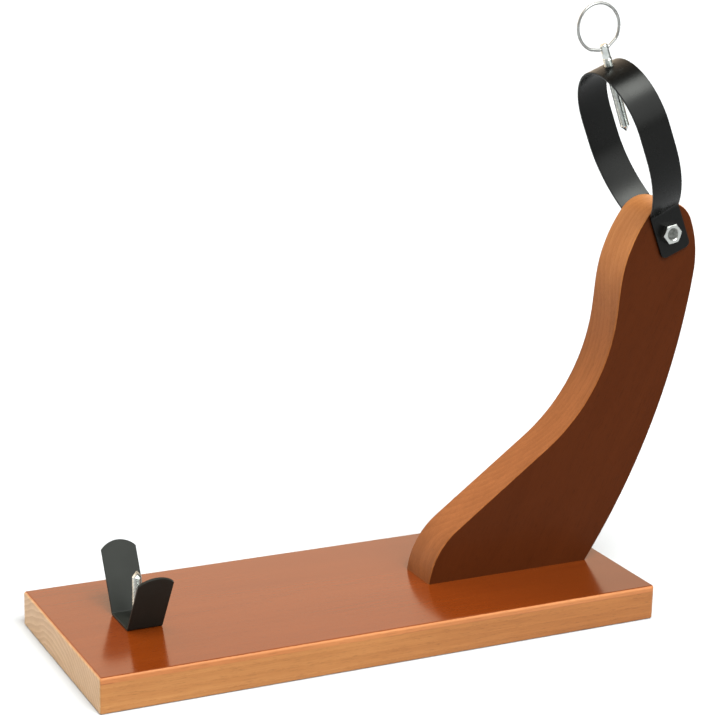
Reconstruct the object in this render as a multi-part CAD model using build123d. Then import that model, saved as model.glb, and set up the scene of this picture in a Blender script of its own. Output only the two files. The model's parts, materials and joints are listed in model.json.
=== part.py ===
from build123d import *
import os
from math import acos, cos, radians, sin, sqrt, tan

# Ham holder: a base board, a curved arm with a pivoted hoop and clamp screw, and a winged rest with a spike.
# The origin is the centre of the board's underside, +X runs along the board towards the arm, and +Z is up.

# Base board
base_length = 502.0
base_width = 195.0
base_height = 30.0
base_edge_radius = 2.5
base_bottom_chamfer = 1.0
base_arm_end_radius = 4.0
base_rest_end_radius = 1.5

# Arm: a board on edge, cut to a curved outline in the XZ plane
arm_thickness = 42.0
arm_edge_radius = 1.5
arm_top_radius = 26.1
arm_top_front_angle = 54.2
arm_top_back_angle = 68.3
arm_front_corners = ((74.5, 59.5), (241.0, 182.0), (251.1, 308.3))
arm_front_radii = (66.0, 158.5, 120.0)
arm_back_corners = ((327.1, 307.4), (304.6, 145.6))
arm_back_radii = (92.0, 600.0)
toe_x = 70.9
heel_x = 227.5

# Pivot at the top of the arm: hex bolt, washer and lock nut with an insert
pivot_x = 293.2
pivot_z = 322.0
bolt_radius = 5.0
bolt_across_flats = 16.0
bolt_head_height = 6.4
bolt_head_turn = 11.0
bolt_dish_radius = 5.6
bolt_dish_depth = 0.7
bolt_end_reach = 1.9
bolt_end_chamfer = 1.0
stack_gap = 0.1
washer_radius = 10.0
washer_thickness = 2.0
washer_play = 0.25
washer_chamfer = 0.2
nut_height = 10.0
nut_body_height = 7.2
nut_turn = 20.0
nut_collar_inset = 0.4
nut_collar_fillet = 1.2
insert_radius = 6.6
insert_height = 2.2
insert_cover = 0.3

# Hexagons: the outer face is turned down at an angle to a circle a little smaller than the flats
hex_turned_angle = 30.0
hex_circle_share = 0.97
hex_blank_share = 1.02

# Hoop: flat strip, bent in the plane that leans hoop_lean degrees from upright towards the rest;
# offsets across the strip are counted from the pivot
strip_width = 30.0
strip_offset = 1.8
strap_thickness = 2.0
hoop_lean = 22.1
hoop_half_width = 45.7
hoop_side_start = 79.9
hoop_side_end = 100.4
hoop_crown_rise = 52.5
hoop_flare_radius = 88.0
hoop_bend_radius = 5.0
tab_drop = 20.0
tab_corner_radius = 5.0
tab_gap = 0.3
strip_edge_radius = 0.4

# Clamp screw, through the crown; heights are measured from the crown along the screw's own axis
screw_lean = 20.5
screw_offset = 2.4
screw_radius = 4.0
screw_neck_radius = 3.5
screw_tip_height = -60.0
screw_neck_start = 7.5
screw_top_height = 20.0
screw_end_chamfer = 0.8
cross_hole_height = 16.5
cone_length = 5.5
crown_hole_radius = 4.8
hoop_nut_across_flats = 13.0
hoop_nut_height = 6.5
hoop_nut_drop = 1.3

# Pull ring, with heights along the screw's axis
wire_radius = 1.25
ring_radius = 20.0
ring_centre_height = 35.5
ring_leg_reach = 13.0
ring_straight_reach = 4.6
ring_end_gap = 0.6
ring_bend_radius = 2.0

# Front rest: strip bent into a flat foot and two flared wings with arched tops
rest_x = -185.7
rest_thickness = 2.0
rest_half_foot = 18.7
wing_flare = 29.2
wing_length = 53.6
wing_arch_rise = 6.8
rest_bend_radius = 2.5

# Spike through the rest and the board, with its nut in a counterbore underneath
spike_radius = 4.0
spike_tip_z = 73.5
spike_bottom_z = 2.0
counterbore_radius = 11.0
counterbore_depth = 11.0
spike_washer_radius = 8.5
spike_washer_thickness = 1.6
spike_washer_play = 0.2
spike_nut_height = 6.5
spike_nut_across_flats = 13.0

# Wood screws and dowels between board and arm
arm_screw_x = (97.0, 151.0, 205.0)
arm_screw_radius = 2.5
arm_screw_length = 58.0
arm_screw_point_length = 8.0
arm_screw_head_radius = 5.2
arm_screw_head_height = 3.4
arm_screw_rim = 0.5
arm_screw_recess = 2.0
cross_recess_length = 5.0
cross_recess_width = 1.1
cross_recess_depth = 2.0
arm_dowel_x = (124.0, 178.0)
dowel_radius = 5.0
dowel_length = 40.0
dowel_depth_in_base = 18.0
dowel_end_gap = 0.2
dowel_chamfer = 1.0

running_clearance = 0.06
cut_reach = 60.0

# Directions in the XZ plane: up_hoop runs from the pivot to the crown, across_strip along the strip's width
up = Vector(0, 0, 1)
along_bolt = Vector(0, 1, 0)
up_hoop = Vector(-sin(radians(hoop_lean)), 0, cos(radians(hoop_lean)))
across_strip = Vector(cos(radians(hoop_lean)), 0, sin(radians(hoop_lean)))
up_screw = Vector(-sin(radians(screw_lean)), 0, cos(radians(screw_lean)))
across_screw = Vector(cos(radians(screw_lean)), 0, sin(radians(screw_lean)))

# Places that several sub-parts share
pivot = Vector(pivot_x, 0, pivot_z)
hoop_plane = Plane(origin=pivot + across_strip * strip_offset, x_dir=along_bolt, z_dir=across_strip)
crown = pivot + up_hoop * (hoop_side_end + hoop_crown_rise) + across_strip * screw_offset
tab_y = arm_thickness / 2 + tab_gap + strap_thickness / 2
stack_y = tab_y + strap_thickness / 2 + stack_gap
nut_y = stack_y + washer_thickness
insert_y = nut_y + nut_height - insert_height - insert_cover


def rod(start, direction, radius, length):
    """Cylinder from a point along a direction."""
    return extrude(Plane(origin=start, z_dir=direction) * Circle(radius), length)


def drill(centre, direction, radius, reach=cut_reach):
    """Cylinder that passes through a point and runs a reach past it both ways, to cut a hole."""
    return rod(centre - direction * reach, direction, radius, 2 * reach)


def hexagon(start, direction, x_dir, across_flats, height, turn=0.0):
    """Hexagonal prism whose far face has its corners turned off."""
    corner_radius = across_flats / sqrt(3)
    blank_radius = corner_radius * hex_blank_share
    circle_radius = across_flats / 2 * hex_circle_share
    drop = (blank_radius - circle_radius) * tan(radians(hex_turned_angle))
    plane = Plane(origin=start, x_dir=x_dir, z_dir=direction)
    prism = extrude(plane * Rot(0, 0, turn) * RegularPolygon(corner_radius, 6), height)
    cone = plane * Pos(0, 0, height - drop / 2) * Cone(blank_radius, circle_radius, drop)
    return prism & (cone + extrude(plane * Circle(blank_radius), height - drop))


def spindle(start, direction, radius, length):
    """Round bar with a conical point at its start and a chamfer at its far end."""
    bar = [
        (0, 0), (radius, cone_length), (radius, length - screw_end_chamfer),
        (radius - screw_end_chamfer, length), (0, length), (0, 0),
    ]
    profile = make_face(Plane.XZ * Polyline(*bar))
    return Plane(origin=start, z_dir=direction) * revolve(profile, Axis.Z)


def washer(start, direction, outer, bore, thickness):
    """Flat ring with its outer rims chamfered."""
    ring = rod(start, direction, outer, thickness) - rod(start, direction, bore, thickness)
    circles = ring.edges().filter_by(GeomType.CIRCLE)
    return chamfer(circles.filter_by(lambda edge: edge.radius > (outer + bore) / 2), washer_chamfer)


def on_screw(height):
    """Point at a height along the clamp screw's axis, counted from the crown."""
    return crown + up_screw * height


def arm_outline():
    """Face of the arm's side view, on the arm's far side: straight runs joined by tangent arcs."""
    toe = (toe_x, base_height)
    heel = (heel_x, base_height)
    top_turn = -arm_top_front_angle - arm_top_back_angle
    top = CenterArc((pivot_x, pivot_z), arm_top_radius, 90 + arm_top_front_angle, top_turn)
    front = FilletPolyline(toe, *arm_front_corners, top @ 0, radius=list(arm_front_radii))
    back = FilletPolyline(top @ 1, *arm_back_corners, heel, radius=list(arm_back_radii))
    return make_face(Plane.XZ.offset(-arm_thickness / 2) * Curve([front, top, back, Line(heel, toe)]))


def base_board():
    """Board with its top edges rounded, and its holes for the spike, the dowels and the wood screws."""
    board = Pos(0, 0, base_height / 2) * Box(base_length, base_width, base_height)
    uprights = board.edges().filter_by(Axis.Z).sort_by(Axis.X)
    board = fillet(uprights[2:], base_arm_end_radius)
    uprights = board.edges().filter_by(Axis.Z).sort_by(Axis.X)
    board = fillet(uprights[:2], base_rest_end_radius)
    board = fillet(board.faces().sort_by(Axis.Z)[-1].edges(), base_edge_radius)
    board = chamfer(board.faces().sort_by(Axis.Z)[0].edges(), base_bottom_chamfer)
    board -= rod((rest_x, 0, 0), up, spike_radius + running_clearance, base_height)
    board -= rod((rest_x, 0, 0), up, counterbore_radius, counterbore_depth)
    for x in arm_dowel_x:
        board -= rod((x, 0, base_height - dowel_depth_in_base), up, dowel_radius, dowel_depth_in_base)
    for x in arm_screw_x:
        board -= screw_blank(x, running_clearance)
        board -= rod((x, 0, 0), up, arm_screw_head_radius + running_clearance, arm_screw_recess)
    return board


def screw_blank(x, growth=0.0):
    """Countersunk wood screw without its recess, point upwards; growth widens it into its own hole."""
    head = arm_screw_head_radius + growth
    shank = arm_screw_radius + growth
    bottom = arm_screw_recess
    top = bottom + arm_screw_length
    outline = Polyline(
        (0, bottom), (head, bottom), (head, bottom + arm_screw_rim),
        (shank, bottom + arm_screw_head_height), (shank, top - arm_screw_point_length),
        (0, top), (0, bottom),
    )
    return Pos(x, 0, 0) * revolve(make_face(Plane.XZ * outline), Axis.Z)


def arm_screws():
    """Three wood screws with cross recesses in their heads."""
    recess_middle = arm_screw_recess + cross_recess_depth / 2
    screws = []
    for x in arm_screw_x:
        screw = screw_blank(x)
        screw -= Pos(x, 0, recess_middle) * Box(cross_recess_length, cross_recess_width, cross_recess_depth)
        screw -= Pos(x, 0, recess_middle) * Box(cross_recess_width, cross_recess_length, cross_recess_depth)
        screws.append(screw)
    return Compound(screws)


def arm_dowels():
    """Two beech dowels with chamfered ends, half in the board and half in the arm."""
    dowels = []
    for x in arm_dowel_x:
        bottom = (x, 0, base_height - dowel_depth_in_base + dowel_end_gap)
        dowel = rod(bottom, up, dowel_radius, dowel_length - 2 * dowel_end_gap)
        dowels.append(chamfer(dowel.edges(), dowel_chamfer))
    return Compound(dowels)


def upright_arm():
    """Curved arm with rounded edges, and its holes for the pivot, the dowels and the screws."""
    arm = extrude(arm_outline(), arm_thickness, dir=(0, -1, 0))
    sides = arm.faces().filter_by(Axis.Y)
    lowest_rim = base_height + arm_edge_radius
    rims = [edge for side in sides for edge in side.edges() if edge.center().Z > lowest_rim]
    arm = fillet(rims, arm_edge_radius)
    arm -= drill(pivot, along_bolt, bolt_radius + running_clearance)
    for x in arm_dowel_x:
        arm -= rod((x, 0, base_height), up, dowel_radius, dowel_length - dowel_depth_in_base)
    for x in arm_screw_x:
        arm -= screw_blank(x, running_clearance)
    return arm


def hoop_centre_line():
    """Half of the hoop's middle line, from the tab's lower end to the crown, in (y, height) coordinates."""
    arc_centre_y = hoop_half_width - hoop_flare_radius
    flare_angle = acos((tab_y - arc_centre_y) / hoop_flare_radius)
    bend = (tab_y, hoop_side_start - hoop_flare_radius * sin(flare_angle))
    middle = (
        arc_centre_y + hoop_flare_radius * cos(flare_angle / 2),
        hoop_side_start - hoop_flare_radius * sin(flare_angle / 2),
    )
    with BuildLine() as line:
        Line((tab_y, -tab_drop), bend)
        ThreePointArc(bend, middle, (hoop_half_width, hoop_side_start))
        Line((hoop_half_width, hoop_side_start), (hoop_half_width, hoop_side_end))
        EllipticalCenterArc((0, hoop_side_end), hoop_half_width, hoop_crown_rise, start_angle=0, arc_size=90)
        corner = line.vertices().sort_by_distance(bend)[0]
        fillet(corner, hoop_bend_radius)
    return line.line


def soften_edges(strip, across):
    """Rounds the rims of a bent strip's two cut faces."""
    cut_faces = [face for face in strip.faces() if abs(face.normal_at().dot(across)) > 0.99]
    rims = [edge for face in cut_faces for edge in face.edges()]
    return fillet(rims, strip_edge_radius)


def hoop_strap():
    """Strip bent into the hoop, with rounded tab corners and holes for the bolt and the clamp screw."""
    outline = trace(hoop_centre_line(), strap_thickness)
    half = extrude(hoop_plane.offset(-strip_width / 2) * outline, strip_width, dir=across_strip)
    strap = half + mirror(half, Plane.XZ)
    ends = strap.faces().sort_by(lambda face: (face.center() - pivot).dot(up_hoop))[:2]
    corners = [edge for end in ends for edge in end.edges().filter_by(Axis.Y)]
    strap = fillet(corners, tab_corner_radius)
    strap = soften_edges(strap, across_strip)
    strap -= drill(pivot, along_bolt, bolt_radius + running_clearance)
    return strap - drill(crown, up_screw, crown_hole_radius, hoop_half_width / 2)


def hoop_nut():
    """Nut welded under the crown, with its corners against the strap's curve."""
    start = on_screw(-strap_thickness / 2 - hoop_nut_drop)
    nut = hexagon(start, -up_screw, along_bolt, hoop_nut_across_flats, hoop_nut_height)
    return nut - drill(crown, up_screw, screw_radius + running_clearance)


def pivot_bolt():
    """Hex bolt with a shallow dish in its head; its shank reaches past the nut on the far side."""
    under_head = pivot - along_bolt * stack_y
    shank_length = stack_y + nut_y + nut_height + bolt_end_reach
    head = hexagon(under_head, -along_bolt, (1, 0, 0), bolt_across_flats, bolt_head_height, bolt_head_turn)
    dish_plane = Plane(origin=under_head - along_bolt * bolt_head_height, z_dir=along_bolt)
    dish = dish_plane * Pos(0, 0, bolt_dish_depth / 2) * Cone(
        bolt_dish_radius, bolt_dish_radius - bolt_dish_depth, bolt_dish_depth
    )
    shank = rod(under_head, along_bolt, bolt_radius, shank_length)
    shank = chamfer(shank.edges().sort_by(Axis.Y)[-1], bolt_end_chamfer)
    return head - dish + shank


def pivot_washer():
    """Washer under the lock nut."""
    start = pivot + along_bolt * stack_y
    return washer(start, along_bolt, washer_radius, bolt_radius + washer_play, washer_thickness)


def pivot_nut():
    """Lock nut: a hexagon with a round collar that holds the insert."""
    start = pivot + along_bolt * nut_y
    nut = hexagon(start, along_bolt, (1, 0, 0), bolt_across_flats, nut_body_height, nut_turn)
    collar = rod(start, along_bolt, bolt_across_flats / 2 - nut_collar_inset, nut_height)
    nut += fillet(collar.edges().sort_by(Axis.Y)[-1], nut_collar_fillet)
    nut -= drill(pivot, along_bolt, bolt_radius + running_clearance)
    return nut - rod(pivot + along_bolt * insert_y, along_bolt, insert_radius, nut_height)


def nut_insert():
    """Ring that grips the bolt inside the lock nut's collar."""
    start = pivot + along_bolt * insert_y
    return rod(start, along_bolt, insert_radius, insert_height) - drill(pivot, along_bolt, bolt_radius)


def clamp_screw():
    """Pointed screw with a thinner neck at the top, cross-drilled for the ring."""
    screw = spindle(on_screw(screw_tip_height), up_screw, screw_radius, screw_neck_start - screw_tip_height)
    neck = rod(crown, up_screw, screw_neck_radius, screw_top_height)
    top_edge = neck.edges().sort_by(lambda edge: edge.center().Z)[-1]
    screw += chamfer(top_edge, screw_end_chamfer)
    return screw - drill(on_screw(cross_hole_height), across_screw, wire_radius + running_clearance)


def pull_ring():
    """Open wire ring whose two ends turn in to the cross-hole."""
    plane = Plane(origin=crown, x_dir=across_screw, z_dir=across_screw.cross(up_screw))
    shoulder_height = ring_centre_height - sqrt(ring_radius ** 2 - ring_leg_reach ** 2)
    shoulder = (ring_leg_reach, shoulder_height)
    far_shoulder = (-ring_leg_reach, shoulder_height)
    with BuildLine() as line:
        Polyline((ring_end_gap, cross_hole_height), (ring_straight_reach, cross_hole_height), shoulder)
        ThreePointArc(shoulder, (0, ring_centre_height + ring_radius), far_shoulder)
        Polyline(far_shoulder, (-ring_straight_reach, cross_hole_height), (-ring_end_gap, cross_hole_height))
        kinks = [vertex for vertex in line.vertices() if abs(vertex.X) > 2 * ring_end_gap]
        fillet(kinks, ring_bend_radius)
    path = plane * line.line
    section = Plane(origin=path @ 0, z_dir=path % 0) * Circle(wire_radius)
    return sweep(section, path=path)


def front_rest():
    """Strip bent up on both sides of a flat foot, with arched wing tops."""
    flare = radians(wing_flare)
    full_length = wing_length + wing_arch_rise
    half = rest_thickness / 2
    foot_half = rest_half_foot - half * (1 - sin(flare)) / cos(flare)
    wing_top = (foot_half + full_length * sin(flare), base_height + half + full_length * cos(flare))
    with BuildLine() as line:
        Polyline(
            (-wing_top[0], wing_top[1]), (-foot_half, base_height + half),
            (foot_half, base_height + half), wing_top,
        )
        fillet(line.vertices().sort_by(Axis.Y)[:2], rest_bend_radius)
    section = trace(line.line, rest_thickness)
    plane = Plane(origin=(rest_x - strip_width / 2, 0, 0), x_dir=along_bolt, z_dir=(1, 0, 0))
    rest = extrude(plane * section, strip_width)
    for side in (-1, 1):
        rest -= wing_waste(side, foot_half)
    rest = soften_edges(rest, Vector(1, 0, 0))
    return rest - rod((rest_x, 0, base_height), up, spike_radius + running_clearance, rest_thickness)


def wing_waste(side, foot_half):
    """What is cut off above one wing's arched top."""
    flare = radians(wing_flare)
    arch_radius = ((strip_width / 2) ** 2 + wing_arch_rise ** 2) / (2 * wing_arch_rise)
    arch_centre = wing_length + wing_arch_rise - arch_radius
    plane = Plane(
        origin=(rest_x, side * foot_half, base_height + rest_thickness / 2),
        x_dir=(1, 0, 0),
        z_dir=(0, -cos(flare), side * sin(flare)),
    )
    above = Pos(0, arch_centre + strip_width) * Rectangle(2 * strip_width, 2 * strip_width)
    waste = above - Pos(0, arch_centre) * Circle(arch_radius)
    return extrude(plane * waste, 4 * rest_thickness, both=True)


def rest_spike():
    """Pointed bar, point upwards."""
    return spindle((rest_x, 0, spike_tip_z), -up, spike_radius, spike_tip_z - spike_bottom_z)


def spike_washer():
    """Washer against the counterbore's floor."""
    start = (rest_x, 0, counterbore_depth - spike_washer_thickness)
    return washer(start, up, spike_washer_radius, spike_radius + spike_washer_play, spike_washer_thickness)


def spike_nut():
    """Nut under the washer, which pulls the spike and the rest down onto the board."""
    top = Vector(rest_x, 0, counterbore_depth - spike_washer_thickness)
    nut = hexagon(top, -up, (1, 0, 0), spike_nut_across_flats, spike_nut_height)
    return nut - drill(top, up, spike_radius + running_clearance)


sub_parts = {
    "base_board": base_board,
    "upright_arm": upright_arm,
    "arm_dowels": arm_dowels,
    "arm_screws": arm_screws,
    "hoop_strap": hoop_strap,
    "hoop_nut": hoop_nut,
    "pivot_bolt": pivot_bolt,
    "pivot_washer": pivot_washer,
    "pivot_nut": pivot_nut,
    "nut_insert": nut_insert,
    "clamp_screw": clamp_screw,
    "pull_ring": pull_ring,
    "front_rest": front_rest,
    "rest_spike": rest_spike,
    "spike_washer": spike_washer,
    "spike_nut": spike_nut,
}

os.makedirs("parts", exist_ok=True)
for node, make in sub_parts.items():
    export_step(make(), f"parts/{node}.step")
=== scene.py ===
import json
import math

import bmesh
import bpy
from mathutils import Matrix, Vector


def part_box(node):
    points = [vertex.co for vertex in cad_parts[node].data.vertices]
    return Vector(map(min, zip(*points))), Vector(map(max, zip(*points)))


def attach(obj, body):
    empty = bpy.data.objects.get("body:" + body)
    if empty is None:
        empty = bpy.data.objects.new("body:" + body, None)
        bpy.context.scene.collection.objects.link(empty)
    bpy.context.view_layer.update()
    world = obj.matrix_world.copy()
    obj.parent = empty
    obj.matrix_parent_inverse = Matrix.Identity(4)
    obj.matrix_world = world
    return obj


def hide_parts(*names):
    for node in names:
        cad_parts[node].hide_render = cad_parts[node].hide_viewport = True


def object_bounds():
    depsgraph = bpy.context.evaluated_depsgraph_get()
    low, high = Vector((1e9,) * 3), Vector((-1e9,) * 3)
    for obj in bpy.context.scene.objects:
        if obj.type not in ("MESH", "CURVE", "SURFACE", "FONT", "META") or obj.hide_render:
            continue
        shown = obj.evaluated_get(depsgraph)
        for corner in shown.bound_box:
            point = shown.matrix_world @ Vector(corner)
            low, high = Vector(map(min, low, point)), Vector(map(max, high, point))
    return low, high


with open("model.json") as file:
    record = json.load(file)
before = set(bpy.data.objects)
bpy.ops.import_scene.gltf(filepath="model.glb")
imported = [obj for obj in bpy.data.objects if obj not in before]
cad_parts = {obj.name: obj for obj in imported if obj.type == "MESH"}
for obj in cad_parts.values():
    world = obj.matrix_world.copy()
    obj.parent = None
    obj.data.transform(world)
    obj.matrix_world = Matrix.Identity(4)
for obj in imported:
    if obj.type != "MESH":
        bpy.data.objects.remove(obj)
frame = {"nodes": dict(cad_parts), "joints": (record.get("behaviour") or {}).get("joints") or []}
cad_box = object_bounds()

# Everything is in metres, in the frame of the CAD model: +X towards the arm, -Y towards the bolt's head and
# +Z up.
mm = 0.001
joints = {joint["name"]: joint for joint in frame["joints"]}

# Camera: the viewing direction, and how far to the side, up and back it stands from the frame's origin
camera_azimuth = -26.18
camera_elevation = 15.44
camera_roll = 1.38
camera_right = 14.79 * mm
camera_up = 222.84 * mm
camera_back = 1795.5 * mm
camera_lens = 105.13
camera_sensor = 36.0
camera_clip = (0.05, 100.0)

# Studio light: each panel is a direction, the cosine where it starts, the cosine where it is full, and its
# colour and brightness. In order: a warm wall behind, a ceiling light, a light in front, and the rest's side.
studio_base = (0.10, 0.10, 0.10)
studio_panels = (
    ((-0.25, 1.0, 0.25), 0.20, 0.86, (1.50, 1.19, 0.87)),
    ((0.0, -0.45, 0.90), 0.93, 0.985, (17.0, 17.6, 16.6)),
    ((0.40, -0.72, 0.57), 0.80, 0.96, (3.8, 3.9, 3.8)),
    ((-1.0, 0.0, 0.35), 0.20, 0.80, (0.70, 0.70, 0.68)),
)

# Floor
floor_tone = (0.48, 0.50, 0.54)
floor_variation = 1.02
floor_noise_scale = 3.0
floor_roughness = 0.8
floor_gloss = 0.1
floor_reach = 20.0
floor_gap = 0.2 * mm

# Threads: a turn's four points, crest first, as shares of the pitch and of the depth
thread_points = ((0.0, 0.0), (0.14, 0.0), (0.50, 1.0), (0.64, 1.0))
thread_columns = 40
thread_least_radius = 0.12 * mm
m8_pitch = 1.25 * mm
m8_thread_depth = 0.62 * mm
m10_pitch = 1.5 * mm
m10_thread_depth = 0.75 * mm

# Mesh clean-up: points closer than the one are joined, and edges shorter than the other dissolved
join_distance = 0.004 * mm
sliver_length = 0.003 * mm
sharp_edge_angle = 35.0

# Clamp screw, with heights along its axis from the hoop's crown
screw_radius = 4.0 * mm
neck_radius = 3.5 * mm
cone_length = 5.5 * mm
tip_height = -60.0 * mm
neck_start = 7.5 * mm
neck_top = 20.0 * mm
cross_hole_height = 16.5 * mm
cross_hole_radius = 1.31 * mm
cross_hole_columns = 32
end_chamfer = 0.8 * mm

# Pivot bolt
bolt_radius = 5.0 * mm
bolt_across_flats = 16.0 * mm
bolt_head_height = 6.4 * mm
bolt_head_turn = 11.0
bolt_head_columns = 120
bolt_head_sharp_angle = 25.0
bolt_head_lower_rim = 0.15 * mm
bolt_dish_radius = 5.6 * mm
bolt_dish_depth = 0.7 * mm
bolt_thread_length = 24.0 * mm
bolt_end_chamfer = 1.0 * mm
hex_turned_angle = 30.0
hex_circle_share = 0.97

# Wood figure: stretches are per metre, along the grain and across it
wander_stretch = (5, 14, 14)
wander_reach = (0.0, 0.02, 0.02)
growth_rings = {"Scale": 62.0, "Distortion": 1.2, "Detail": 2.0, "Detail Scale": 8.0}
figure_stretch = (4, 45, 45)
fibre_stretch = (28, 900, 900)
pore_stretch = (120, 2600, 2600)
pore_from = 0.60
pore_full = 0.72

# Wood colour: how much rings, figure and fibres move it from light to dark, and what the pores add
figure_share = 0.75
fibre_share = 0.45
light_below = 0.25
dark_above = 0.95
pore_shade = 0.45
pore_cover = 0.45

# Varnish: its relief, and the tint of its reflections
varnish_peel_scale = 260
varnish_peel_share = 0.5
open_pore_share = 0.5
varnish_relief = 0.04 * mm
varnish_tint = (1.0, 0.75, 0.5)

# Stain: how far it comes down from the board's top and in from the arm's sides, and its ragged line
board_stain_depth = 0.30 * mm
arm_stain_depth = 0.30 * mm
stain_softness = 0.12 * mm
stain_raggedness = 0.35 * mm
stain_ragged_scale = 140

# Board: each pair of tones is for light and dark wood, and "far" is towards the arm's end. "Rings" is how
# much the growth rings show. Roughness is that of the other faces, then that of the stained one. A glue line
# under the facing layer shows in patches, and at the corner of the rest's end. The top's arm-shaded tones are
# painted shade: the top is painted darker beside the arm, where the arm's shadow falls.
board_pith = (0.0, 0.035, -0.075)
board_edge_rings = 0.16
board_end_rings = 0.45
board_layer_rings = 0.05
board_top_rings = 0.06
board_roughness = (0.38, 0.15)
board_gloss = 0.5
board_edge_tones = (0.374, 0.165, 0.0545), (0.267, 0.102, 0.0301)
board_far_edge_tones = (0.301, 0.112, 0.0324), (0.213, 0.0691, 0.0182)
board_end_tones = (0.547, 0.355, 0.195), (0.384, 0.223, 0.103)
board_layer_tones = (0.386, 0.143, 0.0489), (0.304, 0.0987, 0.0310)
board_top_tones = (0.157, 0.0286, 0.0031), (0.126, 0.0204, 0.0021)
# Painted shade: darker top tones that stand in for the arm's shadow on the board
board_arm_shaded_top_tones = (0.122, 0.0220, 0.0023), (0.0958, 0.0155, 0.0017)
facing_layer = 5.0 * mm
facing_layer_softness = 0.3 * mm
# Where the arm's painted shade on the top starts and where it is full, along X in metres
arm_shade_from = 0.05
arm_shade_to = 0.22
end_facing_from = 0.55
end_facing_to = 0.9
glue_tone = (0.20, 0.055, 0.020)
glue_clear = 0.6 * mm
glue_full = 0.2 * mm
glue_patch_stretch = (14, 14, 14)
glue_patches = (0.42, 0.70, 0.12, 0.55)
glue_corner_clear = 14 * mm
glue_corner_full = 9 * mm
glue_corner_share = 0.75

# Arm, with the same kinds of value: it has two pairs of tones for its edge, the paler one for its top. That
# is
# painted light: the edge is painted paler at the top, where more light falls, and darker lower down.
arm_pith = (0.0, 0.05, -0.12)
arm_edge_rings = 0.14
arm_side_rings = 0.08
arm_roughness = (0.40, 0.26)
arm_gloss = 0.08
arm_foot_middle = 150.0 * mm
arm_shaded_edge_tones = (0.269, 0.0931, 0.0304), (0.175, 0.0551, 0.0157)
arm_lit_edge_tones = (0.446, 0.184, 0.0650), (0.307, 0.114, 0.0369)
arm_side_tones = (0.0580, 0.0119, 0.0024), (0.0469, 0.0091, 0.0017)
arm_edge_light_from = 0.22
arm_edge_light_to = 0.33

# Dowels
dowel_pith = (0.0, 0.02, 0.02)
dowel_tones = (0.66, 0.47, 0.29), (0.50, 0.32, 0.18)
dowel_rings = 0.3
dowel_roughness = 0.6
dowel_relief = 0.05 * mm

# Enamel: the hoop is glossier than the rest. Polish is the least roughness, and gloss the specular level. The
# rest's lighter tones are painted light: its black enamel is painted lighter for the light on its foot and
# wings.
hoop_enamel_tones = (0.0020, 0.0021, 0.0019), (0.0011, 0.0012, 0.0011)
hoop_enamel_polish = 0.25
hoop_enamel_gloss = 0.145
# Painted light: the rest's black enamel tones, lighter than the hoop's
rest_enamel_lit_tones = (0.0150, 0.0165, 0.0145), (0.0095, 0.0105, 0.0092)
rest_enamel_polish = 0.42
rest_enamel_gloss = 0.145
enamel_dullness = 0.07
enamel_cloud_scale = 30
enamel_cloud_span = (0.3, 0.7)
enamel_peel_scale = 700
enamel_unevenness = 0.6
enamel_relief = 0.03 * mm
dust_tone = (0.03, 0.03, 0.028)
dust_scale = 1500
dust_from = 0.70
dust_full = 0.78
dust_cover = 0.2

# Bright metal
zinc_tones = (0.60, 0.62, 0.60), (0.44, 0.46, 0.45)
zinc_polish = 0.12
wire_tones = (0.36, 0.36, 0.35), (0.25, 0.25, 0.245)
wire_polish = 0.16
zinc_mottle_scale = 220
zinc_mottle_span = (0.35, 0.7)
zinc_scratch_stretch = (900, 900, 5200)
zinc_mottle_dullness = 0.14
zinc_scratch_dullness = 0.10
zinc_relief = 0.012 * mm

# Bolt head: its dish is duller. The dullness fades in over a rim, and out between two depths under the face.
head_tones = (0.48, 0.49, 0.47), (0.36, 0.37, 0.355)
head_roughness = 0.24
dish_tones = (0.155, 0.160, 0.150), (0.072, 0.075, 0.070)
dish_roughness = 0.46
dish_shade_rim = 0.9 * mm
dish_shade_depths = (1.4 * mm, 1.0 * mm)
head_mottle_scale = 420
dish_mottle_span = (0.35, 0.65)
head_relief = 0.05 * mm

# Nylon
nylon_tones = (0.66, 0.67, 0.62), (0.52, 0.53, 0.49)
nylon_cloud_scale = 400
nylon_roughness = 0.5
nylon_relief = 0.03 * mm


# ---------------------------------------------------------------- node graphs

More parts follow.
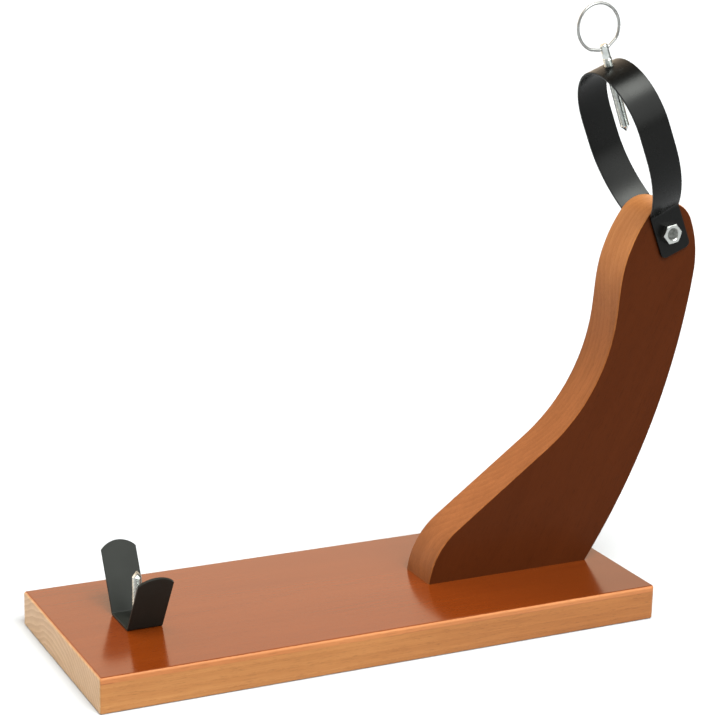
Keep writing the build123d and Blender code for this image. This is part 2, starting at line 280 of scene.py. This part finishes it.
class Graph:
    """A material's node tree. An input takes a number, a colour or another node's output."""

    def __init__(self, name):
        self.material = bpy.data.materials.new(name)
        self.material.use_nodes = True
        self.tree = self.material.node_tree
        self.shader = self.tree.nodes["Principled BSDF"]

    def give(self, socket, value):
        if isinstance(value, bpy.types.NodeSocket):
            self.tree.links.new(value, socket)
        else:
            socket.default_value = value

    def add(self, kind, inputs=None, **settings):
        node = self.tree.nodes.new("ShaderNode" + kind)
        for name, value in settings.items():
            setattr(node, name, value)
        for key, value in (inputs or {}).items():
            self.give(node.inputs[key], value)
        return node

    def math(self, operation, *values):
        return self.add("Math", dict(enumerate(values)), operation=operation).outputs[0]

    def mix(self, factor, first, second):
        node = self.add("Mix", data_type="RGBA")
        self.give(node.inputs["Factor"], factor)
        self.give(node.inputs[6], first)
        self.give(node.inputs[7], second)
        return node.outputs[2]

    def ramp(self, value, low, high, to_low=0.0, to_high=1.0):
        inputs = {"Value": value, "From Min": low, "From Max": high, "To Min": to_low, "To Max": to_high}
        return self.add("MapRange", inputs, interpolation_type="SMOOTHSTEP").outputs[0]

    def noise(self, vector, scale=1.0, detail=3.0, roughness=0.5, distortion=0.0):
        inputs = {"Vector": vector, "Scale": scale, "Detail": detail, "Roughness": roughness,
                  "Distortion": distortion}
        return self.add("TexNoise", inputs).outputs["Fac"]

    def stretch(self, vector, x, y, z):
        return self.add("VectorMath", {0: vector, 1: (x, y, z)}, operation="MULTIPLY").outputs[0]

    def subtract(self, first, second):
        return self.math("SUBTRACT", first, second)

    def multiply(self, first, second):
        return self.math("MULTIPLY", first, second)

    def between(self, factor, low, high):
        """Plain number between two others."""
        return self.add("Mix", {"Factor": factor, 2: low, 3: high}).outputs[0]

    def bump(self, height, distance):
        return self.add("Bump", {"Height": height, "Distance": distance, "Strength": 1.0}).outputs["Normal"]

    def surface(self, **values):
        names = {
            "color": "Base Color", "normal": "Normal", "roughness": "Roughness", "metallic": "Metallic",
            "specular": "Specular IOR Level", "tint": "Specular Tint",
        }
        for name, value in values.items():
            self.give(self.shader.inputs[names[name]], value)
        return self.material


def rgb(red, green, blue):
    return (red, green, blue, 1.0)


# ---------------------------------------------------------------- wood

def wood_figure(g, grain_turn, pith):
    """Solid wood around a pith line: the place, and (rings, figure, fibres, pores), each from 0 to 1."""
    place = g.add("TexCoord").outputs["Object"]
    inputs = {"Vector": place, "Center": (0, 0, 0), "Axis": (0, 1, 0), "Angle": grain_turn}
    along = g.add("VectorRotate", inputs).outputs[0]
    centred = g.add("VectorMath", {0: along, 1: pith}, operation="SUBTRACT").outputs[0]
    wander = g.stretch(g.noise(g.stretch(along, *wander_stretch), detail=2), *wander_reach)
    shifted = g.add("VectorMath", {0: centred, 1: wander}, operation="ADD").outputs[0]
    rings = g.add(
        "TexWave", {"Vector": shifted, **growth_rings},
        wave_type="RINGS", rings_direction="X", wave_profile="SAW",
    ).outputs["Fac"]
    figure = g.noise(g.stretch(along, *figure_stretch), detail=4, roughness=0.6, distortion=0.3)
    fibres = g.noise(g.stretch(along, *fibre_stretch), detail=3, roughness=0.6)
    pores = g.ramp(g.noise(g.stretch(along, *pore_stretch), detail=1), pore_from, pore_full)
    return place, (rings, figure, fibres, pores)


def blend_wood(g, tones, wood, ring_share):
    """Wood colour between a light and a dark tone, with darker pores."""
    light, dark = tones
    rings, figure, fibres, pores = wood
    ring_part = g.multiply(rings, ring_share)
    figure_part = g.multiply(figure, figure_share - ring_share / 2)
    fibre_part = g.multiply(fibres, fibre_share)
    share = g.math("ADD", g.math("ADD", ring_part, figure_part), fibre_part)
    tone = g.mix(g.ramp(share, light_below, dark_above), rgb(*light), rgb(*dark))
    pore_tone = rgb(*(pore_shade * channel for channel in dark))
    return g.mix(g.multiply(pores, pore_cover), tone, pore_tone)


def stain_line(g, place, distance, edge):
    """1 on the stained face, 0 beyond a slightly ragged line at a distance."""
    ragged = g.multiply(g.subtract(g.noise(place, stain_ragged_scale), 0.5), stain_raggedness)
    return g.ramp(g.math("ADD", distance, ragged), edge - stain_softness, edge + stain_softness)


def varnished_wood(g, place, color, stained, pores, roughness, specular):
    """Varnish with a fine peel: smoother on the stained faces, with open pores on the others."""
    peel = g.multiply(g.noise(place, varnish_peel_scale, detail=2), varnish_peel_share)
    open_pores = g.multiply(pores, g.subtract(1.0, stained))
    relief = g.subtract(peel, g.multiply(open_pores, open_pore_share))
    return g.surface(color=color, roughness=g.between(stained, *roughness), specular=specular,
                     normal=g.bump(relief, varnish_relief), tint=rgb(*varnish_tint))


def board_material():
    """Stained, glossy top over honey-coloured edges and pale end grain, with a facing layer under it."""
    g = Graph("board_wood")
    low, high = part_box("base_board")
    place, wood = wood_figure(g, 0.0, board_pith)
    axes = g.add("SeparateXYZ", {0: place}).outputs
    facing = g.add("SeparateXYZ", {0: g.add("TexCoord").outputs["Normal"]}).outputs
    top = stain_line(g, place, axes["Z"], high.z - board_stain_depth)
    end = g.ramp(g.math("ABSOLUTE", facing["X"]), end_facing_from, end_facing_to)

    edge_tone = blend_wood(g, board_edge_tones, wood, board_edge_rings)
    far_edge_tone = blend_wood(g, board_far_edge_tones, wood, board_edge_rings)
    edge_tone = g.mix(g.ramp(axes["X"], low.x, high.x), edge_tone, far_edge_tone)
    end_tone = blend_wood(g, board_end_tones, wood, board_end_rings)
    layer_tone = blend_wood(g, board_layer_tones, wood, board_layer_rings)
    top_tone = blend_wood(g, board_top_tones, wood, board_top_rings)
    # Painted shade: the top darkens towards the arm, in place of the arm's shadow
    arm_shaded_top_tone = blend_wood(g, board_arm_shaded_top_tones, wood, board_top_rings)
    top_tone = g.mix(g.ramp(axes["X"], arm_shade_from, arm_shade_to), top_tone, arm_shaded_top_tone)

    layer_line = high.z - facing_layer
    in_layer = g.ramp(axes["Z"], layer_line - facing_layer_softness, layer_line + facing_layer_softness)
    edge_tone = g.mix(in_layer, edge_tone, layer_tone)
    from_line = g.math("ABSOLUTE", g.subtract(axes["Z"], layer_line))
    glue = g.ramp(from_line, glue_clear, glue_full)
    patchy = g.ramp(g.noise(g.stretch(place, *glue_patch_stretch), detail=2), *glue_patches)
    corner = g.ramp(axes["X"], low.x + glue_corner_clear, low.x + glue_corner_full, 0.0, glue_corner_share)
    glue_share = g.multiply(glue, g.math("MAXIMUM", patchy, corner))
    edge_tone = g.mix(glue_share, edge_tone, rgb(*glue_tone))

    color = g.mix(top, g.mix(end, edge_tone, end_tone), top_tone)
    return varnished_wood(g, place, color, top, wood[3], board_roughness, board_gloss)


def arm_material():
    """Dark stained sides over honey-coloured edges with painted light, paler at the top, and the grain along
    the arm.
    """
    g = Graph("arm_wood")
    low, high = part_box("upright_arm")
    pivot = Vector(joints["hoop_pivot"]["pos_m"])
    lean = math.atan2(pivot.z - low.z, pivot.x - arm_foot_middle)
    place, wood = wood_figure(g, lean, arm_pith)
    axes = g.add("SeparateXYZ", {0: place}).outputs
    side = stain_line(g, place, g.math("ABSOLUTE", axes["Y"]), high.y - arm_stain_depth)
    # Painted light: the edge is painted darker below a height and paler above it, for how the light falls
    shaded_edge = blend_wood(g, arm_shaded_edge_tones, wood, arm_edge_rings)
    lit_edge = blend_wood(g, arm_lit_edge_tones, wood, arm_edge_rings)
    edge_tone = g.mix(g.ramp(axes["Z"], arm_edge_light_from, arm_edge_light_to), shaded_edge, lit_edge)
    color = g.mix(side, edge_tone, blend_wood(g, arm_side_tones, wood, arm_side_rings))
    return varnished_wood(g, place, color, side, wood[3], arm_roughness, arm_gloss)


def dowel_material():
    """Pale, unvarnished wood."""
    g = Graph("dowel_wood")
    _, wood = wood_figure(g, math.pi / 2, dowel_pith)
    tone = blend_wood(g, dowel_tones, wood, dowel_rings)
    return g.surface(color=tone, roughness=dowel_roughness, normal=g.bump(wood[2], dowel_relief))


# ---------------------------------------------------------------- metal and plastic

def enamel_material(name, tones, polish, gloss):
    """Black enamel on steel, between two tones: fine orange peel, faint dust and a cloudy polish."""
    g = Graph(name)
    place = g.add("TexCoord").outputs["Object"]
    cloud = g.noise(place, enamel_cloud_scale, detail=5, roughness=0.6)
    dust = g.ramp(g.noise(place, dust_scale, detail=1), dust_from, dust_full)
    color = g.mix(cloud, rgb(*tones[0]), rgb(*tones[1]))
    color = g.mix(g.multiply(dust, dust_cover), color, rgb(*dust_tone))
    roughness = g.ramp(cloud, *enamel_cloud_span, polish, polish + enamel_dullness)
    peel = g.math("ADD", g.noise(place, enamel_peel_scale, detail=2), g.multiply(cloud, enamel_unevenness))
    return g.surface(color=color, roughness=roughness, normal=g.bump(peel, enamel_relief), specular=gloss)


def zinc_material(name, tones, polish):
    """Bright plate, between two tones: mottled, with fine scratches and a little dullness."""
    g = Graph(name)
    place = g.add("TexCoord").outputs["Object"]
    mottle = g.noise(place, zinc_mottle_scale, detail=4, roughness=0.65)
    scratch = g.noise(g.stretch(place, *zinc_scratch_stretch), detail=2, roughness=0.7)
    color = g.mix(g.ramp(mottle, *zinc_mottle_span), rgb(*tones[0]), rgb(*tones[1]))
    mottle_part = g.multiply(mottle, zinc_mottle_dullness)
    dullness = g.math("ADD", mottle_part, g.multiply(scratch, zinc_scratch_dullness))
    return g.surface(color=color, roughness=g.math("ADD", dullness, polish), metallic=1.0,
                     normal=g.bump(scratch, zinc_relief))


def bolt_head_material():
    """Zinc plate that is duller and darker in the head's dish."""
    g = Graph("zinc_bolt_head")
    low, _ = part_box("pivot_bolt")
    pivot = joints["hoop_pivot"]["pos_m"]
    place = g.add("TexCoord").outputs["Object"]
    from_axis = g.add("VectorMath", {0: place, 1: pivot}, operation="SUBTRACT").outputs[0]
    reach = g.add("VectorMath", {0: g.stretch(from_axis, 1, 0, 1)}, operation="LENGTH").outputs["Value"]
    depth = g.add("SeparateXYZ", {0: place}).outputs["Y"]
    face = g.ramp(depth, low.y + dish_shade_depths[0], low.y + dish_shade_depths[1])
    dish = g.multiply(g.ramp(reach, bolt_dish_radius, bolt_dish_radius - dish_shade_rim), face)
    mottle = g.noise(place, head_mottle_scale, detail=4, roughness=0.7)
    bright = g.mix(mottle, rgb(*head_tones[0]), rgb(*head_tones[1]))
    dull = g.mix(g.ramp(mottle, *dish_mottle_span), rgb(*dish_tones[0]), rgb(*dish_tones[1]))
    roughness = g.between(dish, head_roughness, dish_roughness)
    return g.surface(color=g.mix(dish, bright, dull), roughness=roughness, metallic=1.0,
                     normal=g.bump(mottle, head_relief))


def nylon_material():
    """Off-white nylon, slightly cloudy."""
    g = Graph("nylon")
    cloud = g.noise(g.add("TexCoord").outputs["Object"], nylon_cloud_scale)
    color = g.mix(cloud, rgb(*nylon_tones[0]), rgb(*nylon_tones[1]))
    return g.surface(color=color, roughness=nylon_roughness, normal=g.bump(cloud, nylon_relief))


def paint(piece, material):
    """Gives a piece one material, in its existing slots where it has them."""
    if not piece.material_slots:
        piece.data.materials.append(material)
    for slot in piece.material_slots:
        slot.material = material


# ---------------------------------------------------------------- turned and threaded meshes

def axis_frame(start, axis):
    """Matrix that takes local +Z to a direction, at a point."""
    return Matrix.Translation(start) @ Vector(axis).to_track_quat("Z", "Y").to_matrix().to_4x4()


def new_piece(name, mesh, place, sharp_angle=sharp_edge_angle):
    """Object from a bmesh in local coordinates, with smooth shading but for its sharp edges."""
    bmesh.ops.transform(mesh, matrix=place, verts=mesh.verts)
    bmesh.ops.recalc_face_normals(mesh, faces=mesh.faces)
    for edge in mesh.edges:
        edge.smooth = len(edge.link_faces) == 2 and edge.calc_face_angle() < math.radians(sharp_angle)
    for face in mesh.faces:
        face.smooth = True
    data = bpy.data.meshes.new(name)
    mesh.to_mesh(data)
    mesh.free()
    piece = bpy.data.objects.new(name, data)
    bpy.context.scene.collection.objects.link(piece)
    return piece


def radius_at(profile, height):
    """Radius at a height, from (height, radius) pairs."""
    for (h0, r0), (h1, r1) in zip(profile, profile[1:]):
        if h0 <= height <= h1:
            return r0 + (r1 - r0) * (height - h0) / (h1 - h0)
    return profile[-1][1]


def threaded_skin(profile, start, end, pitch, depth):
    """Bmesh of a bar's skin between two heights, with a helical thread cut into the radius of its profile.

    Every column has the same points a turn and climbs with the helix, so that the last column meets the next
    turn of the first. The thread fades in and out over one pitch.
    """
    first_turn = math.floor(start / pitch) - 1
    last_turn = math.ceil(end / pitch) + 1

    def point(column, turn, share, cut):
        height = pitch * (turn + share) + pitch * column / thread_columns
        fade = min(1.0, max(0.0, min(height - start, end - height)) / pitch)
        radius = max(radius_at(profile, height) - depth * cut * fade, thread_least_radius)
        angle = 2 * math.pi * column / thread_columns
        return (radius * math.cos(angle), radius * math.sin(angle), min(max(height, start), end))

    mesh = bmesh.new()
    columns = []
    for column in range(thread_columns):
        columns.append([
            mesh.verts.new(point(column, turn, share, cut))
            for turn in range(first_turn, last_turn) for share, cut in thread_points
        ])
    beside = columns[1:] + [columns[0][len(thread_points):]]
    for left, right in zip(columns, beside):
        for row in range(len(right) - 1):
            mesh.faces.new([left[row], right[row], right[row + 1], left[row + 1]])
    bmesh.ops.remove_doubles(mesh, verts=mesh.verts, dist=join_distance)
    bmesh.ops.dissolve_degenerate(mesh, edges=mesh.edges, dist=sliver_length)
    return mesh


def turned_skin(mesh, profile, columns, hexagon=None):
    """Adds the skin of a turned bar from (radius, height) pairs; a radius of None is the hexagon's own."""
    rings = []
    for radius, height in profile:
        if radius == 0.0:
            rings.append([mesh.verts.new((0, 0, height))])
            continue
        ring = []
        for index in range(columns):
            angle = 2 * math.pi * index / columns
            reach, drop = hexagon(angle, height) if radius is None else (radius, 0.0)
            ring.append(mesh.verts.new((reach * math.cos(angle), reach * math.sin(angle), height - drop)))
        rings.append(ring)
    for lower, upper in zip(rings, rings[1:]):
        for index in range(columns):
            after = (index + 1) % columns
            corners = [lower[index % len(lower)], lower[after % len(lower)],
                       upper[after % len(upper)], upper[index % len(upper)]]
            unique = list(dict.fromkeys(corners))
            if len(unique) > 2:
                mesh.faces.new(unique)


def threaded_bar(name, place, profile, thread_start, thread_end, pitch, depth):
    """Turned bar whose outer radius follows a (height, radius) profile, threaded between two heights."""
    mesh = threaded_skin(profile, thread_start, thread_end, pitch, depth)
    below = [(0.0, profile[0][0])]
    below += [(radius, height) for height, radius in profile if height < thread_start]
    below += [(radius_at(profile, thread_start), thread_start)]
    above = [(radius_at(profile, thread_end), thread_end)]
    above += [(radius, height) for height, radius in profile if height > thread_end]
    above += [(0.0, profile[-1][0])]
    turned_skin(mesh, below, thread_columns)
    turned_skin(mesh, above, thread_columns)
    bmesh.ops.remove_doubles(mesh, verts=mesh.verts, dist=join_distance)
    return new_piece(name, mesh, place)


def clamp_screw():
    """M8 screw with a turned cone, a plain neck above the crown and a cross-hole for the ring."""
    hole = Vector(joints["ring_swing"]["pos_m"])
    up = -Vector(joints["clamp_travel"]["axis"]).normalized()
    crown = hole - up * cross_hole_height
    profile = [
        (tip_height, 0.0), (tip_height + cone_length, screw_radius), (neck_start, screw_radius),
        (neck_start + end_chamfer / 2, neck_radius), (neck_top - end_chamfer, neck_radius),
        (neck_top, neck_radius - end_chamfer),
    ]
    piece = threaded_bar("clamp_screw_threaded", axis_frame(crown, up), profile,
                         tip_height + cone_length, neck_start, m8_pitch, m8_thread_depth)
    cutter_mesh = bmesh.new()
    bmesh.ops.create_cone(cutter_mesh, cap_ends=True, segments=cross_hole_columns,
                          radius1=cross_hole_radius, radius2=cross_hole_radius, depth=4 * neck_radius)
    cutter = new_piece("cross_hole_cutter", cutter_mesh, axis_frame(hole, joints["ring_swing"]["axis"]))
    cut_away(piece, cutter)
    return piece


def cut_away(piece, cutter):
    """Takes the cutter's shape out of a piece for good, and removes the cutter."""
    modifier = piece.modifiers.new("cut", "BOOLEAN")
    modifier.object = cutter
    modifier.operation = "DIFFERENCE"
    modifier.solver = "EXACT"
    graph = bpy.context.evaluated_depsgraph_get()
    data = bpy.data.meshes.new_from_object(piece.evaluated_get(graph))
    piece.modifiers.clear()
    piece.data = data
    bpy.data.objects.remove(cutter)


def rest_spike():
    """M8 spike, point upwards."""
    low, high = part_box("rest_spike")
    place = axis_frame(Vector(((low.x + high.x) / 2, (low.y + high.y) / 2, high.z)), (0, 0, -1))
    length = high.z - low.z
    profile = [(0.0, 0.0), (cone_length, screw_radius), (length - end_chamfer, screw_radius),
               (length, screw_radius - end_chamfer)]
    return threaded_bar("rest_spike_threaded", place, profile,
                        cone_length, length - end_chamfer, m8_pitch, m8_thread_depth)


def pivot_bolt():
    """M10 bolt with a dished hex head and a thread on the end that carries the nut."""
    low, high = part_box("pivot_bolt")
    pivot = Vector(joints["hoop_pivot"]["pos_m"])
    under_head = Vector((pivot.x, low.y + bolt_head_height, pivot.z))
    length = high.y - under_head.y
    profile = [(0.0, bolt_radius), (length - bolt_end_chamfer, bolt_radius),
               (length, bolt_radius - bolt_end_chamfer)]
    shank = threaded_bar("pivot_bolt_shank", axis_frame(under_head, (0, 1, 0)), profile,
                         length - bolt_thread_length, length - bolt_end_chamfer, m10_pitch, m10_thread_depth)

    circle = hex_circle_share * bolt_across_flats / 2
    sector = math.radians(60.0)

    def hexagon(angle, height):
        """Radius of the hexagon at an angle, and how far its turned-down face lies below its top there."""
        from_flat = (angle - math.radians(bolt_head_turn)) % sector - sector / 2
        reach = bolt_across_flats / 2 / math.cos(from_flat)
        turned_down = max(0.0, reach - circle) * math.tan(math.radians(hex_turned_angle))
        return reach, turned_down if height > bolt_head_height / 2 else 0.0

    dish_floor = bolt_head_height - bolt_dish_depth
    profile = [(0.0, 0.0), (circle, 0.0), (None, bolt_head_lower_rim), (None, bolt_head_height),
               (circle, bolt_head_height), (bolt_dish_radius, bolt_head_height),
               (bolt_dish_radius - bolt_dish_depth, dish_floor), (0.0, dish_floor)]
    mesh = bmesh.new()
    turned_skin(mesh, profile, bolt_head_columns, hexagon)
    head = new_piece("pivot_bolt_head", mesh, axis_frame(under_head, (0, -1, 0)), bolt_head_sharp_angle)
    return shank, head


# ---------------------------------------------------------------- stage

def place_camera():
    """Camera at the photograph's viewing angle."""
    azimuth, elevation, roll = map(math.radians, (camera_azimuth, camera_elevation, camera_roll))
    back = Vector((math.sin(azimuth) * math.cos(elevation), -math.cos(azimuth) * math.cos(elevation),
                   math.sin(elevation)))
    level_right = Vector((math.cos(azimuth), math.sin(azimuth), 0.0))
    level_up = back.cross(level_right)
    right = level_right * math.cos(roll) + level_up * math.sin(roll)
    up = level_up * math.cos(roll) - level_right * math.sin(roll)
    data = bpy.data.cameras.new("camera")
    data.sensor_width = camera_sensor
    data.lens = camera_lens
    data.clip_start, data.clip_end = camera_clip
    camera = bpy.data.objects.new("camera", data)
    bpy.context.scene.collection.objects.link(camera)
    rotation = Matrix((right, up, back)).transposed().to_4x4()
    position = right * camera_right + up * camera_up + back * camera_back
    camera.matrix_world = Matrix.Translation(position) @ rotation
    bpy.context.scene.camera = camera


def lay_floor():
    """Plain pale floor under the object, large enough to fill the picture."""
    g = Graph("floor")
    place = g.add("TexCoord").outputs["Object"]
    other_tone = rgb(*(floor_variation * channel for channel in floor_tone))
    tone = g.mix(g.noise(place, floor_noise_scale, detail=2), rgb(*floor_tone), other_tone)
    g.surface(color=tone, roughness=floor_roughness, specular=floor_gloss)
    mesh = bmesh.new()
    bmesh.ops.create_grid(mesh, x_segments=4, y_segments=4, size=floor_reach)
    floor = new_piece("floor", mesh, Matrix.Translation((0, 0, cad_box[0].z - floor_gap)))
    paint(floor, g.material)


def light_studio():
    """Soft light from all round: a dim room with the studio panels in it."""
    world = bpy.data.worlds.new("studio")
    bpy.context.scene.world = world
    world.use_nodes = True
    tree = world.node_tree
    direction = tree.nodes.new("ShaderNodeTexCoord").outputs["Generated"]
    total = None
    for toward, dark_at, bright_at, brightness in studio_panels:
        facing = tree.nodes.new("ShaderNodeVectorMath")
        facing.operation = "DOT_PRODUCT"
        tree.links.new(direction, facing.inputs[0])
        facing.inputs[1].default_value = Vector(toward).normalized()
        level = tree.nodes.new("ShaderNodeMapRange")
        level.interpolation_type = "SMOOTHSTEP"
        tree.links.new(facing.outputs["Value"], level.inputs["Value"])
        level.inputs["From Min"].default_value = dark_at
        level.inputs["From Max"].default_value = bright_at
        added = tree.nodes.new("ShaderNodeVectorMath")
        added.operation = "MULTIPLY_ADD"
        tree.links.new(level.outputs[0], added.inputs[0])
        added.inputs[1].default_value = brightness
        if total is None:
            added.inputs[2].default_value = studio_base
        else:
            tree.links.new(total, added.inputs[2])
        total = added.outputs[0]
    tree.links.new(total, tree.nodes["Background"].inputs["Color"])
    bpy.context.scene.view_settings.view_transform = "Standard"


# ---------------------------------------------------------------- the object

def dress(node, material):
    """Gives a CAD node its material."""
    paint(frame["nodes"][node], material)


def stand_for(piece, body, slot, material, *nodes):
    """Puts a new piece on its body, in place of the CAD nodes named."""
    paint(piece, material)
    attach(piece, body)
    if nodes:
        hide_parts(*nodes)


place_camera()
lay_floor()
light_studio()

zinc = zinc_material("zinc_plate", zinc_tones, zinc_polish)
wire = zinc_material("nickel_wire", wire_tones, wire_polish)
hoop_enamel = enamel_material("black_enamel", hoop_enamel_tones, hoop_enamel_polish, hoop_enamel_gloss)

dress("base_board", board_material())
dress("upright_arm", arm_material())
dress("arm_dowels", dowel_material())
dress("nut_insert", nylon_material())
dress("pull_ring", wire)
# The rest's satin enamel is the hoop's black with painted light: its tones are lighter
rest_enamel = enamel_material("satin_enamel", rest_enamel_lit_tones, rest_enamel_polish, rest_enamel_gloss)
dress("front_rest", rest_enamel)
for node in ("hoop_strap", "hoop_nut"):
    dress(node, hoop_enamel)
for node in ("arm_screws", "pivot_washer", "pivot_nut", "spike_washer", "spike_nut"):
    dress(node, zinc)

stand_for(clamp_screw(), "screw", "zinc_steel", zinc, "clamp_screw")
stand_for(rest_spike(), "stand", "zinc_steel", zinc, "rest_spike")
bolt_shank, bolt_head = pivot_bolt()
stand_for(bolt_shank, "stand", "zinc_steel", zinc, "pivot_bolt")
stand_for(bolt_head, "stand", "zinc_steel", bolt_head_material())
